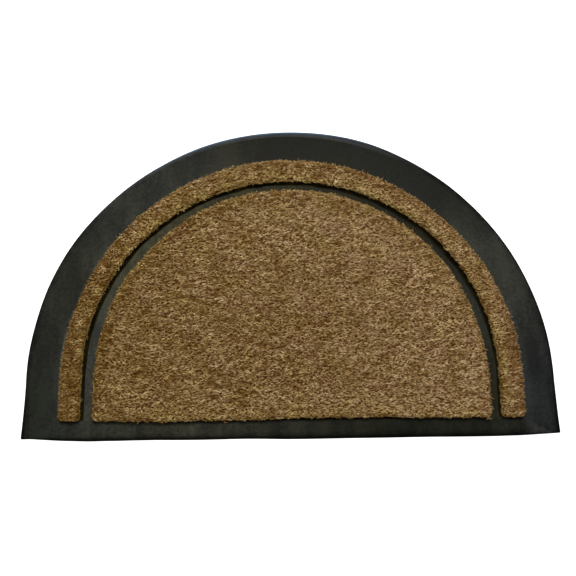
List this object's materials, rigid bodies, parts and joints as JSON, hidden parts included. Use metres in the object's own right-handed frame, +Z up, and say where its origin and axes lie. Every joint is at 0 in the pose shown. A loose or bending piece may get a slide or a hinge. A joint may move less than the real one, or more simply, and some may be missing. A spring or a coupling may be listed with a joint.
{
  "type": "half-round coir doormat",
  "caption": "Flat half-round entrance mat: an arch and a half-round field of brown coir pile seated in a black moulded rubber tray with a wide sloping rim.",
  "frame": {"origin": "middle of the bounding box on the underside, where the mat lies on the floor", "axes": "+X along the straight front edge, +Y from the straight front edge towards the top of the arc, +Z up out of the pile"},
  "size_m": [0.9144, 0.5588, 0.02],
  "materials": {
    "moulded_rubber": "matt moulded black rubber with a faint dusty bloom",
    "coir_pile": "short upright pile of coarse brown coir fibre, trimmed level"
  },
  "bodies": {
    "root": {"rubber_tray": "moulded_rubber", "coir_band": "coir_pile", "coir_field": "coir_pile"}
  },
  "joints": []
}
